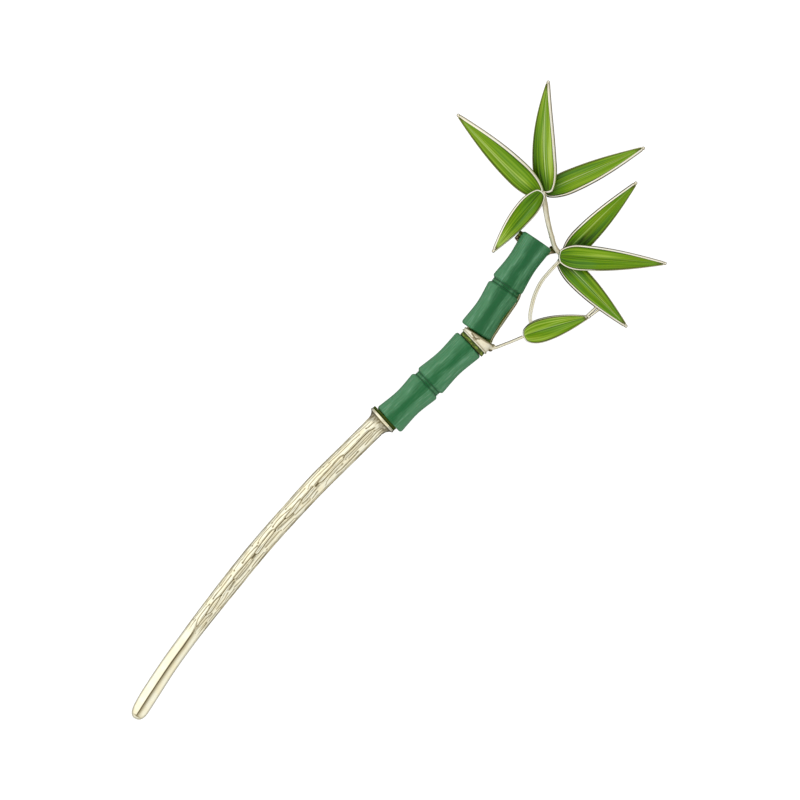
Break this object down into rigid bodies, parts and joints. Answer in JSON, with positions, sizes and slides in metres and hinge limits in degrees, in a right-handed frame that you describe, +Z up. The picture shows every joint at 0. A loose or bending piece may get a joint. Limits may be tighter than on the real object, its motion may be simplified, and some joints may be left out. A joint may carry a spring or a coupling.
{
  "type": "hair stick",
  "caption": "Plated metal hair stick with a bark patterned blade, green bamboo shaped beads and a spray of enamelled bamboo leaves.",
  "frame": {"origin": "on the table under the middle of the box of the whole hair stick lying face up", "axes": "+X from the blade's tip to the leaves, +Y to the left of that way seen from above, +Z up, away from the table"},
  "size_m": [0.1813, 0.0634, 0.0084],
  "materials": {
    "plated_metal": "pale gold plating over a casting, satin with polished high points",
    "jade_resin": "satin translucent jade green resin",
    "leaf_enamel": "glossy translucent leaf green enamel over fine lengthwise lines"
  },
  "bodies": {
    "root": {"blade": "plated_metal", "lower_bead": "jade_resin", "upper_bead": "jade_resin", "branch_frame": "plated_metal", "leaf_enamel_1": "leaf_enamel", "leaf_enamel_2": "leaf_enamel", "leaf_enamel_3": "leaf_enamel", "leaf_enamel_4": "leaf_enamel", "leaf_enamel_5": "leaf_enamel", "leaf_enamel_6": "leaf_enamel", "leaf_enamel_7": "leaf_enamel", "leaf_enamel_8": "leaf_enamel"}
  },
  "joints": []
}
